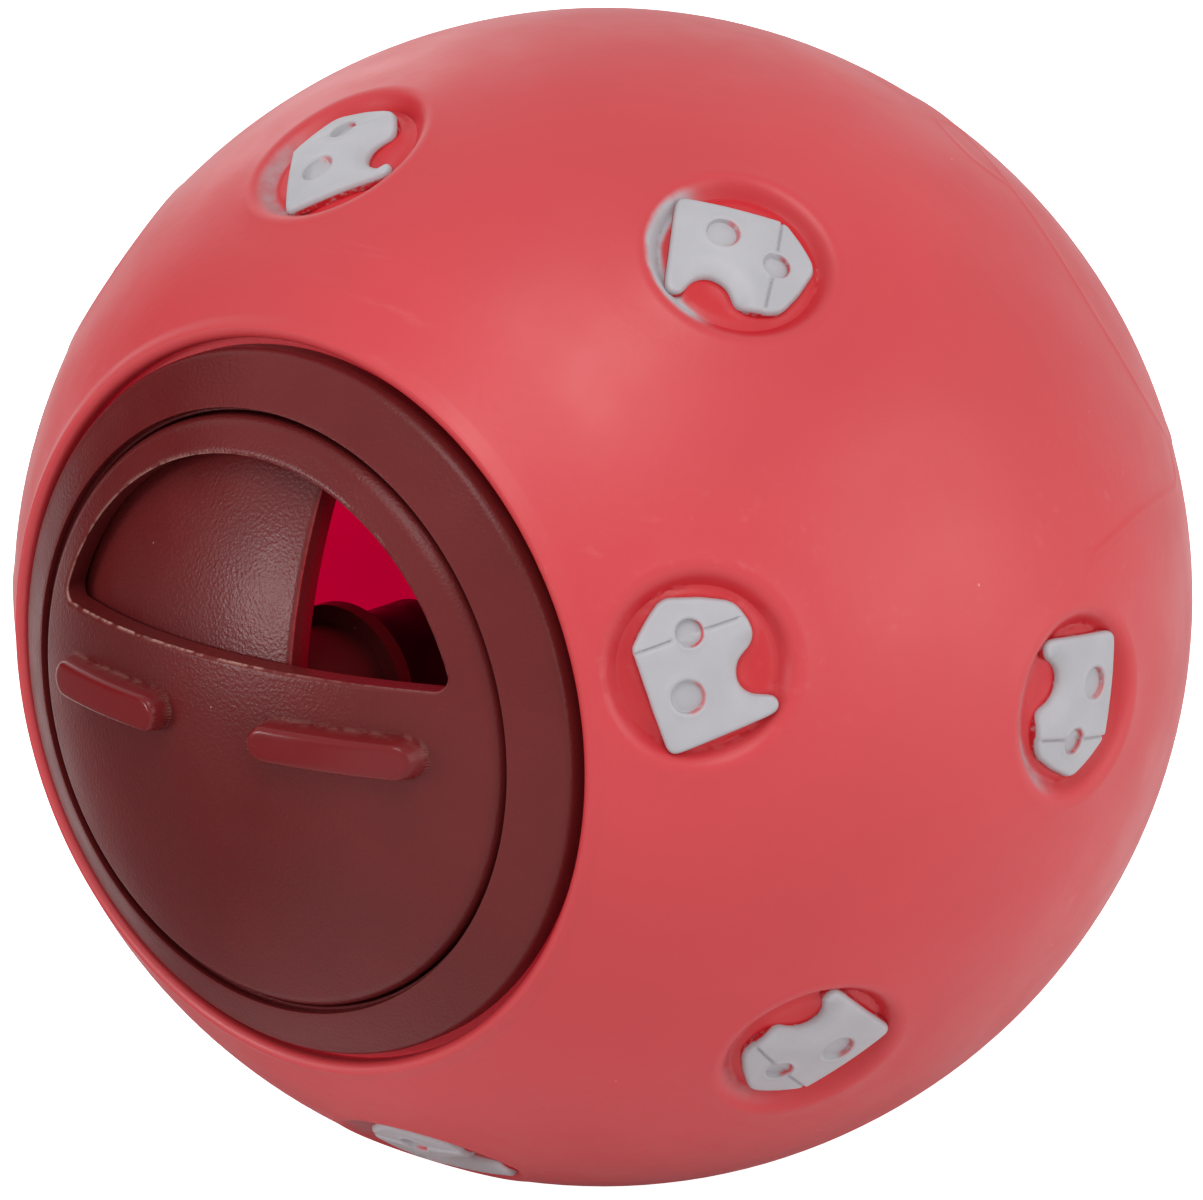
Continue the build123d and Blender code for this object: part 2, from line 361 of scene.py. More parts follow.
def on_ball(flat, axes, s):
    """Directions from the ball's centre of flat points that are wrapped on the skin round a place."""
    reach = reach_of(flat)
    along = flat / np.maximum(reach, 1e-9)[:, None]
    turn = reach / s.ball
    across = along[:, :1] * axes[:, 0] + along[:, 1:] * axes[:, 1]
    return across * np.sin(turn)[:, None] + axes[:, 2] * np.cos(turn)[:, None]


def line(start, end, spacing):
    """Points along a straight line, without its end."""
    start, end = np.array(start, float), np.array(end, float)
    count = max(1, ceil(np.linalg.norm(end - start) / spacing))
    return start + (end - start) * np.linspace(0, 1, count, endpoint=False)[:, None]


def arc(centre, radius, start, end, spacing):
    """Points along an arc between two angles, without its end."""
    count = max(2, ceil(abs(end - start) * radius / spacing))
    angles = np.linspace(start, end, count, endpoint=False)
    return np.array(centre) + radius * np.column_stack([np.cos(angles), np.sin(angles)])


def arc_through(first, middle, last, count):
    """Points along the arc from first through middle to last."""
    a, b, c = complex(*first), complex(*middle), complex(*last)
    w = (c - a) / (b - a)
    centre = a - (a - b) * (w - abs(w) ** 2) / 2j / w.imag
    sweep = phase((b - centre) / (a - centre)) + phase((c - centre) / (b - centre))
    points = [centre + (a - centre) * turned(1j * sweep * k) for k in np.linspace(0, 1, count)]
    return np.array([(p.real, p.imag) for p in points])


def ring(radius, count):
    """Closed loop of evenly spaced points on a circle."""
    angles = 2 * pi * np.arange(count) / count
    return radius * np.column_stack([np.cos(angles), np.sin(angles)])


def half_moon(radius, sill, corner, spacing=0.3, corner_spacing=0.12):
    """Closed loop of a half-moon above a straight sill, with rounded corners."""
    lift = sill + corner
    side = sqrt((radius - corner) ** 2 - lift**2)
    tilt = atan2(lift, side)
    return np.vstack([
        line((-side, sill), (side, sill), spacing),
        arc((side, lift), corner, -pi / 2, tilt, corner_spacing),
        arc((0, 0), radius, tilt, pi - tilt, spacing),
        arc((-side, lift), corner, pi - tilt, 1.5 * pi, corner_spacing),
    ])


def bar(middle, bar_length, width, spacing=0.2):
    """Closed loop of a bar along x with round ends."""
    x, y = middle
    half, end = (bar_length - width) / 2, width / 2
    return np.vstack([
        line((x - half, y - end), (x + half, y - end), spacing),
        arc((x + half, y), end, -pi / 2, pi / 2, spacing),
        line((x + half, y + end), (x - half, y + end), spacing),
        arc((x - half, y), end, pi / 2, 1.5 * pi, spacing),
    ])


def resample(points, spacing, closed=True):
    """Evenly spaced points along a line of points."""
    points = np.vstack([points, points[:1]]) if closed else np.array(points)
    steps = np.linalg.norm(np.diff(points, axis=0), axis=1)
    places = np.concatenate([[0], np.cumsum(steps)])
    count = max(3, ceil(places[-1] / spacing))
    wanted = np.linspace(0, places[-1], count, endpoint=not closed)
    return np.column_stack([np.interp(wanted, places, points[:, k]) for k in range(points.shape[1])])


def eased(loop, passes):
    """Closed loop of even points with its corners softened."""
    for _ in range(passes):
        loop = (np.roll(loop, 1, axis=0) + 2 * loop + np.roll(loop, -1, axis=0)) / 4
    return loop


def flowing(points, closed, steps=12):
    """Smooth line through points."""
    points = np.array(points, float)
    count = len(points)
    spans = count if closed else count - 1
    place = (lambda i: points[i % count]) if closed else (lambda i: points[min(max(i, 0), count - 1)])
    k = np.linspace(0, 1, steps, endpoint=False)[:, None]
    stretches = []
    for i in range(spans):
        a, b, c, d = place(i - 1), place(i), place(i + 1), place(i + 2)
        bend, twist = 2 * a - 5 * b + 4 * c - d, 3 * b - a - 3 * c + d
        stretches.append(0.5 * (2 * b + (c - a) * k + bend * k**2 + twist * k**3))
    return np.vstack(stretches if closed else stretches + [points[-1:]])


def inside(points, loop):
    """Which points lie within a closed loop."""
    x, y = points[:, 0, None], points[:, 1, None]
    ax, ay = loop[:, 0], loop[:, 1]
    bx, by = np.roll(ax, -1), np.roll(ay, -1)
    crosses = (ay > y) != (by > y)
    rise = np.where(by == ay, 1.0, by - ay)
    cut = ax + (y - ay) * (bx - ax) / rise
    return np.count_nonzero(crosses & (x < cut), axis=1) % 2 == 1


def line_distance(points, starts, ends):
    """Distance from points to the nearest of some straight stretches."""
    along = ends - starts
    offset = points[:, None] - starts
    place = np.clip((offset * along).sum(axis=2) / np.maximum((along**2).sum(axis=1), 1e-12), 0, 1)
    return np.linalg.norm(offset - place[..., None] * along, axis=2).min(axis=1)


def loop_distance(points, loop):
    """Distance of points outside a closed loop, negative inside it."""
    gap = line_distance(points, loop, np.roll(loop, -1, axis=0))
    return np.where(inside(points, loop), -gap, gap)


def moved_out(loop, distance):
    """Loop whose points are moved outward along its normals; it runs anticlockwise."""
    along = np.roll(loop, -1, axis=0) - np.roll(loop, 1, axis=0)
    normal = np.column_stack([along[:, 1], -along[:, 0]])
    return loop + normal / np.linalg.norm(normal, axis=1)[:, None] * distance


def grid(reach, spacing):
    """Staggered points over a square of plus and minus reach."""
    rows = np.arange(-reach, reach, spacing * sqrt(0.75))
    columns = np.arange(-reach, reach, spacing)
    return np.array([(x + (n % 2) * spacing / 2, y) for n, y in enumerate(rows) for x in columns])


def point_tree(points):
    """Search tree of flat or solid points."""
    tree = kdtree.KDTree(len(points))
    for n, point in enumerate(points):
        tree.insert((*point, 0.0)[:3], n)
    tree.balance()
    return tree


def thin(points, gap):
    """Points without those nearer than gap to an earlier one."""
    tree = point_tree(points)
    kept = np.ones(len(points), bool)
    for n, point in enumerate(points):
        if kept[n]:
            for _, other, _ in tree.find_range((*point, 0.0)[:3], gap):
                kept[other] &= other <= n
    return points[kept]


def distance_to(points, others):
    """Distance from each point to the nearest of the others."""
    tree = point_tree(others)
    return np.array([tree.find((*point, 0.0)[:3])[2] for point in points])


def clear_of(points, others, gap):
    """Points further than gap from all the others."""
    return points[distance_to(points, others) > gap]


def scattered(close, close_gap, wide, wide_gap):
    """Close points thinned to a gap, with wider points where they're clear of them."""
    close = thin(np.vstack(close), close_gap)
    return np.vstack([close, clear_of(wide, close, wide_gap)])


def triangulate(loops, points):
    """Flat points, triangles and each loop's own point numbers, with the loops kept as edges."""
    numbers, edges, start = [], [], 0
    for loop in loops:
        run = np.arange(start, start + len(loop))
        edges += list(zip(run.tolist(), np.roll(run, -1).tolist()))
        numbers.append(run)
        start += len(loop)
    given = [Vector(p) for p in np.vstack([*loops, points]).tolist()]
    flat, _, faces, origins, _, _ = delaunay_2d_cdt(given, edges, [], 0, 1e-6, True)
    place = {old: new for new, olds in enumerate(origins) for old in olds}
    numbers = [np.array([place[n] for n in run]) for run in numbers]
    return np.array([tuple(p) for p in flat]), np.array(faces), numbers


def middles(flat, faces):
    """Middle of each triangle."""
    return flat[faces].mean(axis=1)


def border(faces):
    """Edges that only one triangle has."""
    ways = [(a, b) for face in faces.tolist() for a, b in zip(face, face[1:] + face[:1])]
    present = set(ways)
    return np.array([way for way in ways if way[::-1] not in present])


class Solid:
    """Points and faces of one closed piece, in millimetres, with named marks on the points."""

    def __init__(self):
        self.points = []
        self.faces = []
        self.finishes = []
        self.marks = {}

    def add(self, points):
        """Add points and give their numbers."""
        start = len(self.points)
        self.points += np.asarray(points).tolist()
        return np.arange(start, len(self.points))

    def cover(self, faces, finish=0):
        """Add faces of one finish."""
        faces = np.asarray(faces).tolist()
        self.faces += faces
        self.finishes += [finish] * len(faces)

    def join(self, first, second, finish=0):
        """Faces between two rings of points."""
        self.cover(np.column_stack([first, np.roll(first, -1), np.roll(second, -1), second]), finish)

    def sweep(self, first, profile, last=None, finish=0):
        """Faces round the mouth's axis along (r, t) points, from one ring of points to another."""
        for r, t in profile:
            following = self.add(on_dome(ring(r, len(first)), np.full(len(first), t)))
            self.join(first, following, finish)
            first = following
        if last is not None:
            self.join(first, last, finish)
        return first

    def close(self, circle, t, finish=0):
        """Fan of faces from a ring to a point on the mouth's axis."""
        tip = self.add([(0.0, -t, 0.0)])
        self.cover(np.column_stack([circle, np.roll(circle, -1), np.full(len(circle), tip[0])]), finish)

    def slab(self, flat, faces, levels, axes=FRONT, lower_faces=None, open_rings=()):
        """Upper and lower face of a plate and its walls from level to level, but not at open rings."""
        layers = [self.add(on_dome(flat, level, axes)) for level in levels]
        self.cover(layers[0][faces])
        self.cover(layers[-1][faces if lower_faces is None else lower_faces])
        ends = border(faces)
        for circle in open_rings:
            ends = ends[~np.isin(ends, circle).all(axis=1)]
        start, end = ends.T
        for high, low in zip(layers, layers[1:]):
            self.cover(np.column_stack([high[start], high[end], low[end], low[start]]))
        return layers

    def mark(self, name, numbers, values):
        """Give points a named value that their material reads."""
        values = np.asarray(values, float).tolist()
        self.marks.setdefault(name, {}).update(zip(numbers.tolist(), values))


def on_dome(flat, heights, axes=FRONT):
    """Points of a flat figure at heights over the ball's centre, in the frame of a place."""
    return np.column_stack([flat, heights]) @ axes.T


def make_piece(name, solid, materials, body, node):
    """Mesh object of a solid, which replaces a packed node and rides on its body."""
    mesh = bpy.data.meshes.new(name)
    mesh.from_pydata((np.array(solid.points) * MM).tolist(), [], solid.faces)
    for material in materials:
        mesh.materials.append(material)
    mesh.polygons.foreach_set("material_index", solid.finishes)
    mesh.polygons.foreach_set("use_smooth", [True] * len(mesh.polygons))
    for mark, values in solid.marks.items():
        layer = mesh.attributes.new(mark, "FLOAT", "POINT")
        layer.data.foreach_set("value", [values.get(n, 0.0) for n in range(len(mesh.vertices))])
    shape = bmesh.new()
    shape.from_mesh(mesh)
    bmesh.ops.delete(shape, geom=[v for v in shape.verts if not v.link_faces], context="VERTS")
    bmesh.ops.recalc_face_normals(shape, faces=shape.faces)
    shape.to_mesh(mesh)
    shape.free()
    mesh.set_sharp_from_angle(angle=radians(SHARP_EDGE))
    piece = bpy.data.objects.new(name, mesh)
    bpy.context.scene.collection.objects.link(piece)
    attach(piece, body)
    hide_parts(node)


def opaque(tone):
    """Colour with full alpha, or a link as it is."""
    return tone if isinstance(tone, NodeSocket) else (*tone, 1.0)


class Nodes:
    """Node tree with short ways to add to it; each gives an output of the new node, or all of them."""

    def __init__(self, tree):
        self.tree = tree

    def add(self, kind, values=None, **settings):
        """Outputs of a node with its settings made and its inputs set or linked."""
        made = self.tree.nodes.new("ShaderNode" + kind)
        for key, value in settings.items():
            setattr(made, key, value)
        for key, value in (values or {}).items():
            if isinstance(value, NodeSocket):
                self.tree.links.new(value, made.inputs[key])
            else:
                made.inputs[key].default_value = value
        return made.outputs

    def maths(self, operation, *values):
        """Result of a math node."""
        return self.add("Math", dict(enumerate(values)), operation=operation)[0]

    def times(self, first, second):
        """Product of two values."""
        return self.maths("MULTIPLY", first, second)

    def mixed(self, factor, first, second):
        """Colour mixed from two others."""
        return self.add("Mix", {0: factor, 6: opaque(first), 7: opaque(second)}, data_type="RGBA")[2]

    def spread(self, value, low, high, to_low=0.0, to_high=1.0):
        """Value brought from one range to another and kept within it."""
        values = dict(enumerate((value, low, high, to_low, to_high)))
        return self.add("MapRange", values, interpolation_type="SMOOTHSTEP")[0]

    def place(self):
        """Position in the object's own frame, in metres."""
        return self.add("TexCoord")["Object"]

    def noise(self, scale, detail=2.0, place=None):
        """Soft noise of a scale per metre."""
        values = {"Vector": place or self.place(), "Scale": scale, "Detail": detail}
        return self.add("TexNoise", values)["Fac"]

    def mark(self, name):
        """Value that the mesh holds at its points."""
        return self.add("Attribute", attribute_name=name)["Fac"]

    def group(self, name, **values):
        """Outputs of a shared node group with its own values."""
        return self.add("Group", values, node_tree=bpy.data.node_groups[name])

    def drifting(self, tone, scale, amount):
        """Colour that drifts lighter and darker by an amount."""
        return self.group("Tone drift", Color=opaque(tone), Scale=scale, Amount=amount)["Color"]

    def grain(self, scale, creases):
        """Height of a moulded grain."""
        return self.group("Moulded grain", Scale=scale, Creases=creases)["Height"]


class Finish(Nodes):
    """Material and its Principled shader, with some of the shader's values set."""

    def __init__(self, name, values):
        self.material = bpy.data.materials.new(name)
        self.material.use_nodes = True
        super().__init__(self.material.node_tree)
        self.sockets = self.tree.nodes["Principled BSDF"].inputs
        for key, value in values.items():
            self.sockets[key].default_value = value

    def feed(self, socket, value):
        """Link a value to one of the shader's sockets."""
        self.tree.links.new(value, self.sockets[socket])

    def bump(self, height, distance, strength=0.5):
        """Bump from a height, over a distance in metres."""
        values = {"Height": height, "Distance": distance, "Strength": strength}
        self.feed("Normal", self.add("Bump", values)[0])


def new_group(name, inputs, outputs):
    """Nodes of an empty shader node group, what it is given and what it results in."""
    tree = bpy.data.node_groups.new(name, "ShaderNodeTree")
    for way, labels in (("INPUT", inputs), ("OUTPUT", outputs)):
        for label in labels:
            kind = "NodeSocketColor" if label == "Color" else "NodeSocketFloat"
            tree.interface.new_socket(name=label, in_out=way, socket_type=kind)
    given, result = tree.nodes.new("NodeGroupInput"), tree.nodes.new("NodeGroupOutput")
    return Nodes(tree), given.outputs, result.inputs


def make_tone_drift():
    """Group: a colour that drifts lighter and darker over the surface."""
    nodes, given, result = new_group("Tone drift", ["Color", "Scale", "Amount"], ["Color"])
    cloud = nodes.spread(nodes.noise(given["Scale"], 3.0), 0.3, 0.7, -1.0, 1.0)
    gain = nodes.maths("MULTIPLY_ADD", cloud, given["Amount"], 1.0)
    scaled = nodes.add("VectorMath", {0: given["Color"], "Scale": gain}, operation="SCALE")[0]
    nodes.tree.links.new(scaled, result["Color"])


def make_moulded_grain():
    """Group: fine leathery grain of a moulded surface."""
    nodes, given, result = new_group("Moulded grain", ["Scale", "Creases"], ["Height"])
    place = nodes.place()
    warp = nodes.noise(given["Scale"], 2.0, place)
    cells = nodes.add("TexVoronoi", {"Vector": place, "Scale": given["Scale"]}, feature="SMOOTH_F1")
    crease = nodes.times(cells["Distance"], given["Creases"])
    nodes.tree.links.new(nodes.maths("ADD", warp, crease), result["Height"])


def make_scuffs():
    """Group: faint rubbed streaks and small specks of dust."""
    nodes, given, result = new_group("Scuffs", ["Scale", "Specks"], ["Streaks", "Specks"])
    place = nodes.place()
    drawn_out = {"Vector": place, "Rotation": (0.4, 0.9, 0.3), "Scale": (1.0, 14.0, 14.0)}
    streaks = nodes.noise(given["Scale"], 4.0, nodes.add("Mapping", drawn_out)[0])
    patches = nodes.spread(nodes.noise(55.0, 2.0, place), 0.5, 0.68)
    nodes.tree.links.new(nodes.times(nodes.spread(streaks, 0.58, 0.74), patches), result["Streaks"])
    dots = nodes.add("TexVoronoi", {"Vector": place, "Scale": given["Specks"]})
    near = nodes.spread(dots["Distance"], 0.02, 0.05, 1.0, 0.0)
    chosen = nodes.spread(nodes.add("SeparateColor", {0: dots["Color"]})[0], 0.86, 0.9)
    nodes.tree.links.new(nodes.times(near, chosen), result["Specks"])


def make_vinyl(skin, paint):
    """Satin vinyl of the skin: drifting tone, painted shade in the hollows, stray paint in the pockets,
    scuffs, and a painted red glow in the gap round the insert.
    """
    vinyl = Finish("vinyl_skin", {"Specular IOR Level": 0.42, "Emission Strength": 1.0})
    tone = vinyl.drifting(skin.tone, 45.0, 0.05)
    # Painted shade: a deeper red where the hollows are
    tone = vinyl.mixed(vinyl.mark("hollow"), tone, skin.hollow_tone)
    scuffs = vinyl.group("Scuffs", Scale=90.0, Specks=420.0)
    tone = vinyl.mixed(vinyl.times(scuffs["Streaks"], 0.03), tone, (0.9, 0.55, 0.55))
    tone = vinyl.mixed(vinyl.times(scuffs["Specks"], 0.25), tone, (0.9, 0.6, 0.6))
    ragged = vinyl.spread(vinyl.noise(900.0, 3.0), 0.3, 0.66, 0.8, 1.12)
    stray = vinyl.spread(vinyl.times(vinyl.mark("mist"), ragged), 0.04, 0.85)
    vinyl.feed("Base Color", vinyl.mixed(stray, tone, paint))
    # Painted glow: the gap round the insert shines red, as if lit through the skin
    vinyl.feed("Emission Color", vinyl.mixed(vinyl.mark("glow"), (0.0, 0.0, 0.0), skin.gap_tone))
    rough = vinyl.spread(vinyl.noise(160.0, 3.0), 0.3, 0.7, 0.38, 0.47)
    vinyl.feed("Roughness", vinyl.maths("ADD", rough, vinyl.times(stray, 0.2)))
    vinyl.bump(vinyl.grain(1800.0, 0.2), 0.00002)
    return vinyl.material


def make_inside(skin):
    """Inner side of the vinyl, with a painted glow that stands in for the light coming through the
    skin.
    """
    values = {"Specular IOR Level": 0.2, "Roughness": 0.6, "Emission Strength": 0.55}
    inner = Finish("vinyl_inside", values)
    glow = inner.drifting(skin.inside_tone, 60.0, 0.12)
    inner.feed("Base Color", glow)
    # Painted glow in the same colour
    inner.feed("Emission Color", glow)
    inner.bump(inner.grain(900.0, 0.3), 0.00003)
    return inner.material


def make_paint(tone, bare_and_shade_tone):
    """Matt sprayed paint, worn through at edges and dimples to the vinyl, which takes the deeper red of
    the painted hollow shade.
    """
    paint = Finish("figure_paint", {"Specular IOR Level": 0.4})
    ragged = paint.spread(paint.noise(2600.0, 3.0), 0.22, 0.5)
    bare = paint.times(paint.mark("worn"), ragged)
    paint.feed("Base Color", paint.mixed(bare, paint.drifting(tone, 220.0, 0.05), bare_and_shade_tone))
    paint.feed("Roughness", paint.spread(paint.noise(400.0, 3.0), 0.3, 0.7, 0.42, 0.55))
    paint.bump(paint.grain(2600.0, 0.1), 0.000015)
    return paint.material


def make_plastic(tone):
    """Maroon plastic with a fine leathery grain, pale burrs at cut edges, a little dust, and a painted
    red glow of bounced light at the port's edge.
    """
    plastic = Finish("maroon_plastic", {"Specular IOR Level": 0.2})
    polished = plastic.mark("polished")
    base = plastic.drifting(tone, 70.0, 0.12)
    base = plastic.mixed(plastic.times(polished, 0.6), base, (0.15, 0.009, 0.011))
    # Painted red light, bounced up from inside the ball, on the port's edge
    base = plastic.mixed(plastic.mark("glow"), base, (0.25, 0.002, 0.01))
    pale = plastic.times(plastic.mark("burr"), plastic.spread(plastic.noise(1500.0, 4.0), 0.38, 0.58))
    base = plastic.mixed(plastic.times(pale, 0.8), base, (0.42, 0.24, 0.2))
    scuffs = plastic.group("Scuffs", Scale=420.0, Specks=650.0)
    base = plastic.mixed(plastic.times(scuffs["Streaks"], 0.04), base, (0.36, 0.2, 0.19))
    base = plastic.mixed(plastic.times(scuffs["Specks"], 0.5), base, (0.45, 0.34, 0.3))
    plastic.feed("Base Color", base)
    rough = plastic.spread(plastic.noise(260.0, 3.0), 0.3, 0.7, 0.28, 0.36)
    plastic.feed("Roughness", plastic.maths("SUBTRACT", rough, plastic.times(polished, 0.12)))
    calm = plastic.maths("SUBTRACT", 1.0, polished)
    plastic.bump(plastic.times(plastic.grain(5200.0, 0.7), calm), 0.000026, 0.8)
    return plastic.material


def make_steel():
    """Blackened steel of the screw, rubbed brighter in places."""
    steel = Finish("blackened_steel", {"Metallic": 1.0})
    streaks = steel.group("Scuffs", Scale=500.0, Specks=900.0)["Streaks"]
    dark = steel.drifting((0.014, 0.013, 0.015), 500.0, 0.3)
    steel.feed("Base Color", steel.mixed(streaks, dark, (0.09, 0.09, 0.095)))
    steel.feed("Roughness", steel.spread(steel.noise(900.0), 0.3, 0.7, 0.3, 0.45))
    return steel.material


class TREATBALL_OT_finishes(Operator):
    """Make the shared surface effects and the maroon plastic"""

    bl_idname = "treat_ball.finishes"
    bl_label = "Make Finishes"

    def execute(self, context):
        make_tone_drift()
        make_moulded_grain()
        make_scuffs()
        make_plastic(context.scene.treat_ball_insert.tone)
        return {"FINISHED"}


def figure_outline():
    """Smooth outline of a cheese figure, anticlockwise."""
    return eased(resample(CHEESE_EDGE, 0.12), 3)


def mouse_lines(s):
    """Flat strokes of the raised mouse outline and the axes of its place."""
    strokes = [flowing(MOUSE_BODY, True), flowing(MOUSE_EAR, False), flowing(MOUSE_TAIL, False)]
    spaced = [resample(stroke, 0.3, closed=n == 0) for n, stroke in enumerate(strokes)]
    return spaced, spot_frame(*MOUSE_SPOT, s)


def skin_samples(s, outline, spots):
    """Directions that sample the ball's outside, closer together at pockets and raised lines."""
    across_wall = np.arange(3.4, 6.6, 0.19)
    beside_figure = (0.06, 0.22, 0.36, 0.52)
    beside_line = (0.0, 0.14, -0.14, 0.28, -0.28, 0.5, -0.5, 0.85, -0.85)
    ring_gap, close_gap, wide_gap, meeting_gap, lip_gap = 0.3, 0.12, 1.25, 0.7, 0.3
    rings = [ring(reach, ceil(2 * pi * reach / ring_gap)) for reach in across_wall]
    rings += [moved_out(outline, distance)[::2] for distance in beside_figure]
    close = [on_ball(loop, axes, s) for axes in spots for loop in rings]
    strokes, axes = mouse_lines(s)
    for stroke in strokes:
        for distance in beside_line:
            close.append(on_ball(moved_out(stroke, distance) if distance else stroke, axes, s))

    # Even points over the whole ball lie on a spiral from pole to pole
    count = int(4 * pi * s.ball**2 / (wide_gap**2 * sqrt(0.75)))
    step = np.arange(count)
    y = 1 - 2 * (step + 0.5) / count
    swing = pi * (3 - sqrt(5)) * step
    reach = np.sqrt(1 - y**2)
    wide = np.column_stack([reach * np.cos(swing), y, reach * np.sin(swing)]) * s.ball
    points = scattered([np.vstack(close) * s.ball], close_gap, wide, meeting_gap)
    beyond = np.arccos(np.clip(points @ FRONT[:, 2] / s.ball, -1, 1)) - asin(s.lip_outer / s.ball)
    return points[beyond * s.ball > lip_gap] / s.ball


def skin_shape(directions, s, skin, figures, outline, spots):
    """Distance of the skin from the ball's centre, with its marks for painted shade in the hollows and
    for stray paint.
    """
    strokes, axes = mouse_lines(s)
    lines = np.vstack([on_ball(stroke, axes, s) for stroke in strokes]) * s.ball
    near_line = distance_to(directions * s.ball, lines)
    width = skin.ridge_width
    radius = np.full(len(directions), s.ball)
    radius += skin.ridge_height * bell(near_line, width)
    x, y, z = directions.T
    broad = np.sin(5 * x + 2 * z) * np.sin(4 * y - 3 * z)
    narrow = np.sin(9 * z + 4 * x) * np.sin(8 * y + 1)
    radius -= skin.waviness * (0.5 + 0.31 * (broad + 0.6 * narrow))
    # Painted shade in the creases beside the raised outline
    hollow = 0.45 * bell(near_line - width, 0.6 * width)
    mist = np.zeros(len(directions))
    foot, rim = figures.floor_radius, figures.rim_radius
    for axes, paint in zip(spots, STRAY_PAINT):
        local = directions @ axes
        near = local[:, 2] > POCKET_VIEW
        flat = local[near, :2] * s.ball
        reach = reach_of(flat)
        wall = 1 - smooth(foot, rim, reach)
        floor = s.ball - (s.ball - figures.pocket_depth) / local[near, 2]
        floor += figures.moat * bell(reach - foot - 0.3, 0.45)
        floor -= figures.base_step * (1 - smooth(0.3, 0.5, loop_distance(flat, outline)))
        lift = 0.05 * bell(reach - rim - 0.25, 0.3)
        radius[near] += lift - floor * wall
        # Painted shade over the pocket's floor and up its wall
        hollow[near] = np.maximum(hollow[near], wall)
        toward = SPRAY_SIDE @ axes[:, :2]
        facing = flat @ toward / np.maximum(reach * np.linalg.norm(toward), 1e-9)
        band = smooth(foot - 0.3, foot + 0.3, reach) * (1 - smooth(rim - 0.7, rim, reach))
        mist[near] = np.maximum(mist[near], paint * band * smooth(0.2, 0.9, facing))
    return radius, hollow, mist


class TREATBALL_OT_skin(Operator):
    """Make the soft skin with its pockets, raised outline, lip and neck"""

    bl_idname = "treat_ball.skin"
    bl_label = "Make Skin"

    def execute(self, context):
        scene = context.scene
        s = worked_sizes(scene)
        skin, figures = in_mm(scene.treat_ball_skin), in_mm(scene.treat_ball_figures)
        outline = figure_outline()
        spots = [spot_frame(*spot, s) for spot in CHEESE_SPOTS]
        edge_t = np.full(RIM_STEPS, dome(s.ball, s.lip_outer))
        edge = on_dome(ring(s.lip_outer, RIM_STEPS), edge_t) / s.ball
        directions = np.vstack([edge, skin_samples(s, outline, spots)])

        # The skin is meshed flat, seen from the middle of its back, and put back on the ball
        flat = directions[:, [0, 2]] / (1 + directions[:, 1:2])
        flat, faces, (rim,) = triangulate([flat[:RIM_STEPS]], flat[RIM_STEPS:])
        size = np.square(flat).sum(axis=1)
        directions = np.column_stack([2 * flat[:, 0], 1 - size, 2 * flat[:, 1]]) / (1 + size)[:, None]
        radius, hollow, mist = skin_shape(directions, s, skin, figures, outline, spots)
        radius[rim] = s.ball

        solid = Solid()
        outside = solid.add(directions * radius[:, None])
        solid.cover(outside[faces])
        solid.mark("hollow", outside, hollow)
        solid.mark("mist", outside, mist)
        bead = []
        for k in np.linspace(0, 1, 8)[1:]:
            r = s.lip_outer - k * (skin.lip_width - skin.lip_edge)
            bead.append(np.array([r, dome(s.ball, r)]) * (1 + skin.lip_rise / s.ball * smooth(0, 1, k)))
        end = np.array([s.mouth, bead[-1][1] - skin.lip_edge])
        halfway = end + (0.29 * skin.lip_edge, 0.71 * skin.lip_edge)
        bead += list(arc_through(bead[-1], halfway, end, 6))[1:]
        lip = solid.sweep(outside[rim], bead)
        seat = solid.sweep(lip, [(s.mouth, s.seat_t), (s.neck_bore, s.seat_t)])
        # The step down into the gap round the insert gets painted shade and a painted red glow, for
        # light through the skin
        for mark in ("hollow", "glow"):
            solid.mark(mark, np.arange(lip[-1] + 1, seat[-1] + 1), np.ones(2 * RIM_STEPS))
        reach = np.linspace(asin(s.neck_outer / s.ball_inner), pi, 36)[:-1]
        inner = [(s.ball_inner * sin(k), s.ball_inner * cos(k)) for k in reach]
        neck = [(s.neck_bore, s.neck_end), (s.neck_outer, s.neck_end)]
        back = solid.sweep(seat, neck + inner, finish=1)
        solid.close(back, -s.ball_inner, finish=1)
        finishes = [make_vinyl(scene.treat_ball_skin, scene.treat_ball_figures.tone)]
        finishes.append(make_inside(scene.treat_ball_skin))
        make_piece("soft_skin", solid, finishes, "ball", "ball_shell")
        return {"FINISHED"}


def figure_shape(flat, outline, figures, s):
    """Height of a figure's face over the ball's centre."""
    height = dome(s.ball - figures.sink, reach_of(flat))
    height -= rounding(-loop_distance(flat, outline), figures.edge_round)
    bite = arc_through(*BITE, 13)
    from_bite = line_distance(flat, bite[:-1], bite[1:])
    height -= figures.bite_slope * np.square(1 - smooth(0.0, 1.5, from_bite))
    for centre, radius in DIMPLES:
        share = reach_of(flat - np.array(centre)) / radius
        height -= figures.dimple_depth * (1 - smooth(0.82, 1.0, share))
        height += 0.05 * bell(share - 1.14, 0.1)
    starts, ends = np.array(FACET).transpose(1, 0, 2)
    along = ends[-1] - starts[0]
    across = np.array([-along[1], along[0]]) / np.linalg.norm(along)
    above = (flat - starts[0]) @ across
    height -= figures.facet_depth * smooth(-0.19, 0.02, above) + 0.04 * np.maximum(above, 0)
    height -= figures.facet_groove * bell(line_distance(flat, starts, ends), 0.07)
    return height


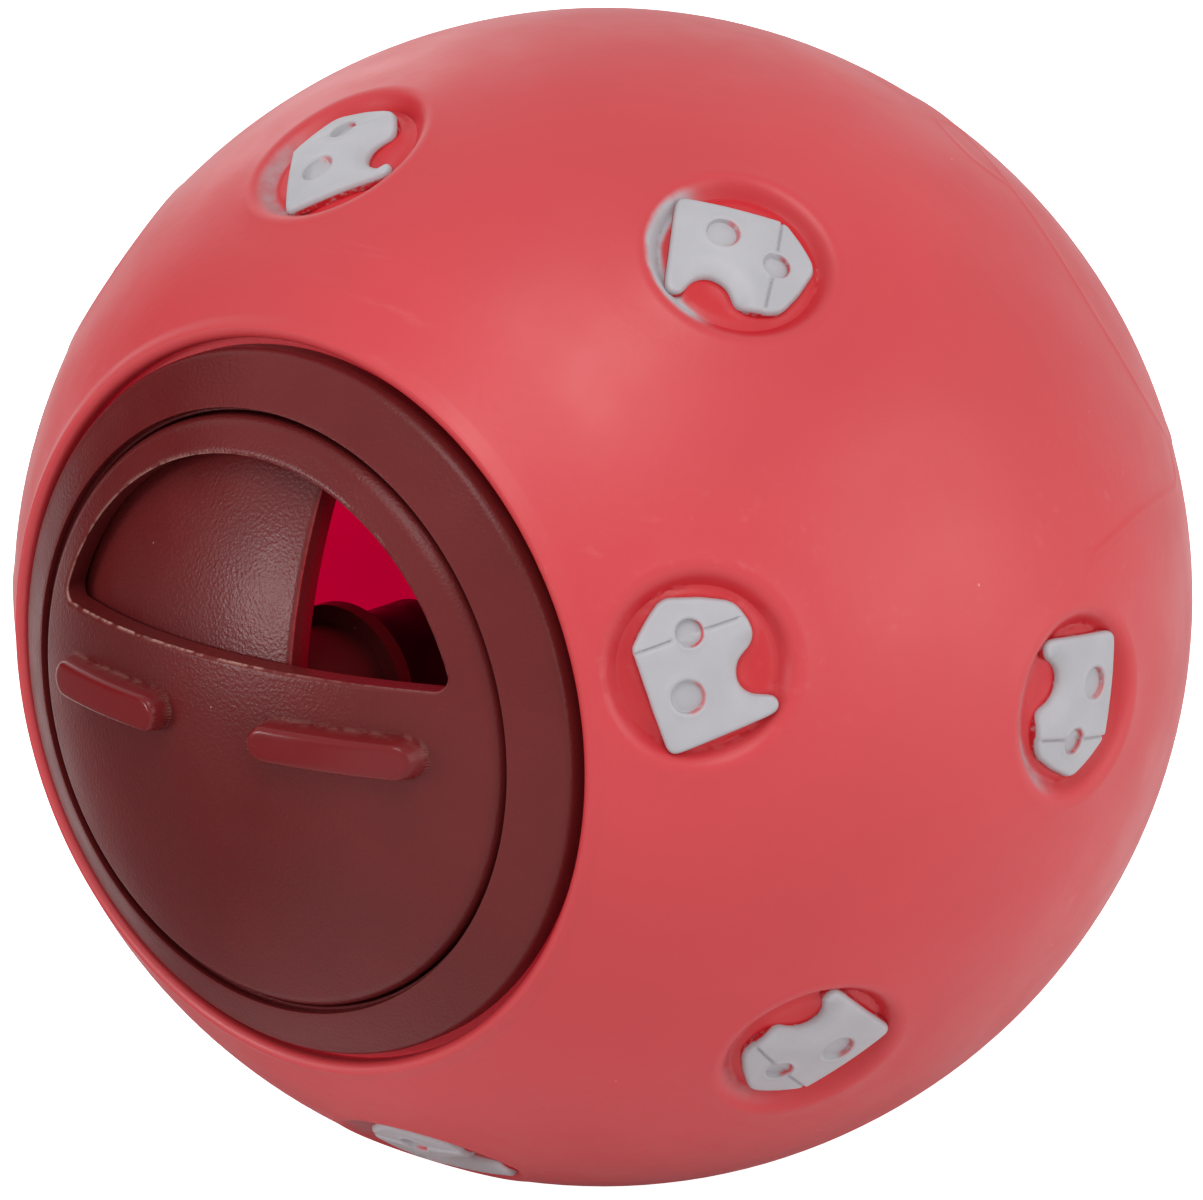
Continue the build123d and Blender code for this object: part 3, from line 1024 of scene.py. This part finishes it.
def worn_paint(flat, outline, axes):
    """Where a figure's paint is thin: its edge and the bare side of its dimples."""
    worn = 0.08 * bell(loop_distance(flat, outline), 0.07)
    side = BARE_SIDE @ axes[:, :2]
    for centre, radius in DIMPLES:
        offset = flat - np.array(centre)
        reach = np.maximum(reach_of(offset), 1e-9)
        facing = offset @ side / reach / np.linalg.norm(side)
        worn = np.maximum(worn, bell(reach / radius - 0.91, 0.07) * smooth(0.0, 0.6, facing))
    return worn


class TREATBALL_OT_figures(Operator):
    """Make the painted cheese figures in their pockets"""

    bl_idname = "treat_ball.figures"
    bl_label = "Make Cheese Figures"

    def execute(self, context):
        scene = context.scene
        s, figures = worked_sizes(scene), in_mm(scene.treat_ball_figures)
        outline = figure_outline()
        within_edge = (0.07, 0.15, 0.25, 0.38)
        round_dimple = (0.5, 0.7, 0.8, 0.86, 0.91, 0.96, 1.01, 1.07, 1.14, 1.25)
        beside_facet = (0.0, 0.05, -0.06, 0.12, -0.12, 0.24, -0.19, -0.28)
        close = [moved_out(outline, -distance) for distance in within_edge]
        for centre, radius in DIMPLES:
            close += [centre + ring(radius * k, 48) for k in round_dimple]
        for start, end in FACET:
            close += [line(start, end, 0.12) + (0.0, shift) for shift in beside_facet]
        points = scattered(close, 0.055, grid(5.2, 0.36), 0.2)
        points = points[loop_distance(points, outline) < -0.05]
        flat, faces, _ = triangulate([outline], points)
        faces = faces[inside(middles(flat, faces), outline)]
        height = figure_shape(flat, outline, figures, s)
        levels = [height, height - PAINT_DROP, np.full(len(flat), s.ball - figures.pocket_depth)]
        # Bare vinyl on the figures takes the painted hollow shade
        paint = make_paint(scene.treat_ball_figures.tone, scene.treat_ball_skin.hollow_tone)
        for place, spot in enumerate(CHEESE_SPOTS, start=1):
            axes = spot_frame(*spot, s)
            solid = Solid()
            upper, *sides = solid.slab(flat, faces, levels, axes)
            solid.mark("worn", upper, worn_paint(flat, outline, axes))
            solid.mark("worn", np.concatenate(sides), np.ones(2 * len(flat)))
            name, node = f"cheese_figure_{place}", f"cheese_{place}"
            make_piece(name, solid, [paint], "ball", node)
        return {"FINISHED"}


def sideways(loop):
    """Loop turned a quarter clockwise across the mouth."""
    return np.column_stack([loop[:, 1], -loop[:, 0]])


class TREATBALL_OT_insert(Operator):
    """Make the hard insert: flange, skirt, fixed plate with its port, and hub"""

    bl_idname = "treat_ball.insert"
    bl_label = "Make Insert"

    def execute(self, context):
        scene = context.scene
        s = worked_sizes(scene)
        insert, dial = in_mm(scene.treat_ball_insert), in_mm(scene.treat_ball_dial)
        sill, corner = s.hub + 0.1, dial.moon_corner
        port = sideways(half_moon(s.port, sill, corner))
        beside_port = (0.06, 0.16, 0.35)
        close = [sideways(half_moon(s.port + k, sill - k, corner + k)) for k in beside_port]
        points = scattered(close, 0.05, grid(s.recess, 0.75), 0.3)
        r = reach_of(points)
        clear = (r > s.hub + 0.08) & (r < s.ledge - 0.25) & (loop_distance(points, port) > 0.04)
        loops = [ring(s.ledge, RIM_STEPS), ring(s.hub, HUB_STEPS), port]
        flat, faces, (rim, hub, _) = triangulate(loops, points[clear])
        centres = middles(flat, faces)
        r = reach_of(centres)
        faces = faces[(r > s.hub * HUB_CHORD) & (r < s.ledge) & ~inside(centres, port)]
        r = reach_of(flat)
        from_port = np.abs(loop_distance(flat, port))
        top = dome(s.plate_dome, r) - 0.1 * np.square(1 - smooth(0.0, 0.2, from_port))

        solid = Solid()
        levels = [top, top - BURR_DROP, dome(s.plate_inner, r)]
        upper, _, lower = solid.slab(flat, faces, levels, open_rings=[rim, hub])
        solid.mark("burr", upper, 0.1 * bell(from_port, 0.1))
        # Painted red glow on the port's edge, for light bounced up from inside the ball
        solid.mark("glow", np.concatenate([upper, lower]), np.tile(bell(from_port, 0.05), 2))
        ease = insert.edge_round
        face_t = dome(s.collar_dome, s.collar - ease)
        corner_t = dome(s.collar_dome, s.collar) - ease
        halfway = (s.collar - 0.27 * ease, (face_t + corner_t) / 2 + 0.2 * ease)
        edge = arc_through((s.collar - ease, face_t), halfway, (s.collar, corner_t), 7)
        flange = np.linspace(s.flange_inner + 0.2, s.collar - ease, 10)
        inner_t = dome(s.collar_dome, s.flange_inner)
        groove_t = dome(s.dial_dome, s.flange_inner) - dial.groove_depth
        bevel = 0.06
        outer = [
            (s.ledge, groove_t - 0.1),
            (s.ledge + bevel, groove_t),
            (s.flange_inner - bevel, groove_t),
            (s.flange_inner, groove_t + bevel),
            (s.flange_inner, inner_t - 0.2),
            (s.flange_inner + bevel, inner_t - bevel),
            *[(k, dome(s.collar_dome, k)) for k in flange],
            *edge[1:],
            (s.collar, s.seat_t),
            (s.body, s.seat_t),
            (s.body, s.snap_t),
            (s.neck_bore + insert.snap_reach, s.snap_t),
            (s.body, s.skirt_end),
            (s.skirt_inner, s.skirt_end),
            (s.skirt_inner, dome(s.plate_inner, s.skirt_inner)),
        ]
        solid.sweep(upper[rim], outer, lower[rim])
        pad_t, bore = s.pad_t - BEARING_PLAY, s.stem + BEARING_PLAY
        middle = [
            (PAD_RADIUS, dome(s.plate_dome, PAD_RADIUS)),
            (PAD_RADIUS, pad_t),
            (bore, pad_t),
            (bore, s.hub_end),
            (s.hub, s.hub_end),
        ]
        solid.sweep(upper[hub], middle, lower[hub])
        plastic = bpy.data.materials["maroon_plastic"]
        make_piece("mouth_insert", solid, [plastic], "ball", "collar_insert")
        return {"FINISHED"}


def dial_top(flat, window, ribs, dial, s):
    """Height of the dial's face, its pale burrs and its polished ribs."""
    r = reach_of(flat)
    top = dome(s.dial_dome, r) - rounding(s.dial - r, dial.edge_round)
    from_window = np.abs(loop_distance(flat, window))
    top -= 0.12 * np.square(1 - smooth(0.0, 0.22, from_window))
    x, y = flat.T

    # The window's burrs fade to the right, sooner along its arc than along its sill
    at_sill = 1 - smooth(0.2, 0.6, y - dial.window_sill)
    on_sill = 1 - 0.8 * smooth(1.0, 8.0, x)
    on_arc = 0.6 - 0.45 * smooth(-6.0, 2.0, x)
    chipped = at_sill * on_sill + (1 - at_sill) * on_arc
    burr = 0.85 * chipped * bell(from_window, 0.08)
    polished = np.zeros(len(flat))
    for rib in ribs:
        gap = loop_distance(flat, rib)
        top += (dial.rib_rise - rounding(-gap, dial.rib_edge)) * (1 - smooth(0.0, 0.18, gap))
        polished = np.maximum(polished, 1 - smooth(0.0, 0.25, gap))
        burr = np.maximum(burr, 0.22 * bell(gap - 0.2, 0.07) * smooth(0.0, 0.6, y))
    return top, burr, polished


class TREATBALL_OT_dial(Operator):
    """Make the turning dial with its window, finger ribs and stem"""

    bl_idname = "treat_ball.dial"
    bl_label = "Make Dial"

    def execute(self, context):
        scene = context.scene
        s, dial = worked_sizes(scene), in_mm(scene.treat_ball_dial)
        sill, corner = dial.window_sill, dial.moon_corner
        window = half_moon(s.window, sill, corner)
        beside_window = (0.06, 0.14, 0.25, 0.4)
        within_edge = (0.03, 0.08, 0.16, 0.28, 0.42, 0.58, 0.7, 0.8)
        beside_rib = (0.4, 0.26, 0.18, 0.12, 0.06, 0.0, -0.05, -0.12, -0.22, -0.36, -0.6)
        rib_x, rib_y = s.dial - dial.rib_margin - dial.rib_length / 2, dial.rib_lift
        crest = dial.rib_length / 2 - 0.9
        ribs = [bar((x, rib_y), dial.rib_length, dial.rib_width) for x in (-rib_x, rib_x)]
        close = [half_moon(s.window + k, sill - k, corner + k) for k in beside_window]
        close += [ring(s.dial - k, RIM_STEPS) for k in within_edge]
        for x in (-rib_x, rib_x):
            for k in beside_rib:
                close.append(bar((x, rib_y), dial.rib_length + 2 * k, dial.rib_width + 2 * k))
            close.append(line((x - crest, rib_y), (x + crest, rib_y), 0.25))
        points = scattered(close, 0.045, grid(s.dial, 0.7), 0.3)
        r = reach_of(points)
        clear = (r < s.dial - 0.02) & (np.abs(r - s.stem) > 0.12)
        clear &= loop_distance(points, window) > 0.04
        loops = [ring(s.dial, RIM_STEPS), ring(s.stem, HUB_STEPS), window]
        flat, faces, (_, stem, _) = triangulate(loops, points[clear])
        faces = faces[~inside(middles(flat, faces), window)]
        round_stem = faces[reach_of(middles(flat, faces)) > s.stem * HUB_CHORD]
        top, burr, polished = dial_top(flat, window, ribs, dial, s)
        bottom = np.minimum(dome(s.dial_inner, reach_of(flat)), s.pad_t)

        solid = Solid()
        levels = [top, top - BURR_DROP, bottom]
        upper, _, lower = solid.slab(flat, faces, levels, lower_faces=round_stem)
        solid.mark("burr", upper, burr)
        solid.mark("polished", upper, polished)
        stem_end = s.hub_end - BEARING_PLAY
        hole = [(s.stem, stem_end), (PILOT_RADIUS, stem_end), (PILOT_RADIUS, PILOT_END)]
        solid.close(solid.sweep(lower[stem], hole), PILOT_END)
        plastic = bpy.data.materials["maroon_plastic"]
        make_piece("turning_dial", solid, [plastic], "dial", "dial_disc")
        return {"FINISHED"}


def dress_node(name, material):
    """Give a packed node its material."""
    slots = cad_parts[name].data.materials
    slots.clear()
    slots.append(material)


class TREATBALL_OT_fastening(Operator):
    """Finish the washer and screw that hold the dial"""

    bl_idname = "treat_ball.fastening"
    bl_label = "Finish Washer and Screw"

    def execute(self, context):
        dress_node("retaining_washer", bpy.data.materials["maroon_plastic"])
        dress_node("pivot_screw", make_steel())
        return {"FINISHED"}


def area_light(name, place, size, watts):
    """Square soft light that faces the ball."""
    light = bpy.data.lights.new(name, "AREA")
    light.energy = watts
    light.size = size
    lamp = bpy.data.objects.new(name, light)
    lamp.location = place
    lamp.rotation_euler = (-Vector(place)).to_track_quat("-Z", "Y").to_euler()
    bpy.context.scene.collection.objects.link(lamp)


def stage_sheet(name, corners, material):
    """Flat sheet that belongs to the stage."""
    mesh = bpy.data.meshes.new(name)
    mesh.from_pydata(corners, [], [(0, 1, 2, 3)])
    mesh.materials.append(material)
    sheet = bpy.data.objects.new(name, mesh)
    bpy.context.scene.collection.objects.link(sheet)
    return sheet


def make_floor_finish(stage):
    """Pale floor that looks white to the camera and dark on the left in reflections."""
    pale = Finish("pale_floor", {"Roughness": 0.9, "Specular IOR Level": 0.1, "Emission Strength": 1.0})
    rays = pale.add("LightPath")
    pale.feed("Emission Color", rays["Is Camera Ray"])
    place = pale.add("SeparateXYZ", {0: pale.place()})
    on_left = pale.spread(place["X"], -0.03, 0.005, 1.0, 0.0)
    in_front = pale.spread(place["Y"], -0.025, -0.01, 1.0, 0.0)
    dim = pale.times(pale.times(on_left, in_front), rays["Is Glossy Ray"])
    tone = pale.drifting(stage.floor_tone, 3.0, 0.01)
    pale.feed("Base Color", pale.mixed(dim, tone, stage.mirrored_tone))
    return pale.material


def make_felt():
    """Black felt of the card."""
    felt = Finish("black_felt", {"Roughness": 1.0, "Specular IOR Level": 0.0})
    felt.feed("Base Color", felt.drifting((0.01, 0.01, 0.01), 20.0, 0.2))
    return felt.material


class TREATBALL_OT_stage(Operator):
    """Make the camera, floor and lights"""

    bl_idname = "treat_ball.stage"
    bl_label = "Make Stage"

    def execute(self, context):
        scene = context.scene
        stage = scene.treat_ball_stage
        level = cos(stage.elevation)
        back = Vector((sin(stage.azimuth) * level, -cos(stage.azimuth) * level, sin(stage.elevation)))
        right = Vector((cos(stage.azimuth), sin(stage.azimuth), 0.0))
        up = back.cross(right)
        camera = bpy.data.objects.new("camera", bpy.data.cameras.new("camera"))
        camera.location = back * stage.distance
        camera.rotation_euler = back.to_track_quat("Z", "Y").to_euler()
        camera.data.lens = stage.lens
        camera.data.shift_x = -OFF_MIDDLE[0] / PICTURE_WIDTH
        camera.data.shift_y = -OFF_MIDDLE[1] / PICTURE_WIDTH
        scene.collection.objects.link(camera)
        scene.camera = camera

        depth = -scene.treat_ball_skin.radius
        ways = [(-1, -1), (1, -1), (1, 1), (-1, 1)]
        corners = [(x * FLOOR_REACH, y * FLOOR_REACH, depth) for x, y in ways]
        stage_sheet("floor", corners, make_floor_finish(stage))

        # The card keeps part of the dial dark in reflections, and the camera doesn't see it
        stage_sheet("black_card", CARD, make_felt()).visible_camera = False

        world = bpy.data.worlds.new("white_room")
        world.use_nodes = True
        sky = world.node_tree.nodes["Background"]
        sky.inputs["Color"].default_value = (1.0, 1.0, 1.0, 1.0)
        sky.inputs["Strength"].default_value = stage.sky_light
        scene.world = world
        scene.view_settings.view_transform = "Standard"
        for name, ((across, above, before), width) in LIGHTS.items():
            place = across * right + above * up + before * back
            area_light(name, place, width, getattr(stage, name))
        area_light("side_light", SIDE_LIGHT, SIDE_WIDTH, stage.side_light)
        return {"FINISHED"}


class TREATBALL_PT_panel(Panel):
    """Lists the ball's settings and the operators that make its pieces"""

    bl_label = "Treat Ball"
    bl_idname = "TREATBALL_PT_panel"
    bl_space_type = "VIEW_3D"
    bl_region_type = "UI"
    bl_category = "Treat Ball"

    def draw(self, context):
        for group in SETTINGS:
            box = self.layout.box()
            box.label(text=group.__doc__)
            settings = getattr(context.scene, SETTINGS[group])
            for name in group.__annotations__:
                box.prop(settings, name)
        for operator in OPERATORS:
            self.layout.operator(operator.bl_idname)


SETTINGS = {
    TreatBallSkin: "treat_ball_skin",
    TreatBallFigures: "treat_ball_figures",
    TreatBallInsert: "treat_ball_insert",
    TreatBallDial: "treat_ball_dial",
    TreatBallStage: "treat_ball_stage",
}
OPERATORS = (
    TREATBALL_OT_finishes,
    TREATBALL_OT_skin,
    TREATBALL_OT_figures,
    TREATBALL_OT_insert,
    TREATBALL_OT_dial,
    TREATBALL_OT_fastening,
    TREATBALL_OT_stage,
)


def register():
    """Register the settings, operators and panel."""
    for group, name in SETTINGS.items():
        bpy.utils.register_class(group)
        setattr(bpy.types.Scene, name, PointerProperty(type=group))
    for operator in OPERATORS:
        bpy.utils.register_class(operator)
    bpy.utils.register_class(TREATBALL_PT_panel)


def unregister():
    """Remove the panel, operators and settings again."""
    bpy.utils.unregister_class(TREATBALL_PT_panel)
    for operator in reversed(OPERATORS):
        bpy.utils.unregister_class(operator)
    for group, name in reversed(SETTINGS.items()):
        delattr(bpy.types.Scene, name)
        bpy.utils.unregister_class(group)


def main():
    """Make every piece in order."""
    register()
    bpy.ops.treat_ball.finishes()
    bpy.ops.treat_ball.skin()
    bpy.ops.treat_ball.figures()
    bpy.ops.treat_ball.insert()
    bpy.ops.treat_ball.dial()
    bpy.ops.treat_ball.fastening()
    bpy.ops.treat_ball.stage()


if __name__ == "__main__":
    main()
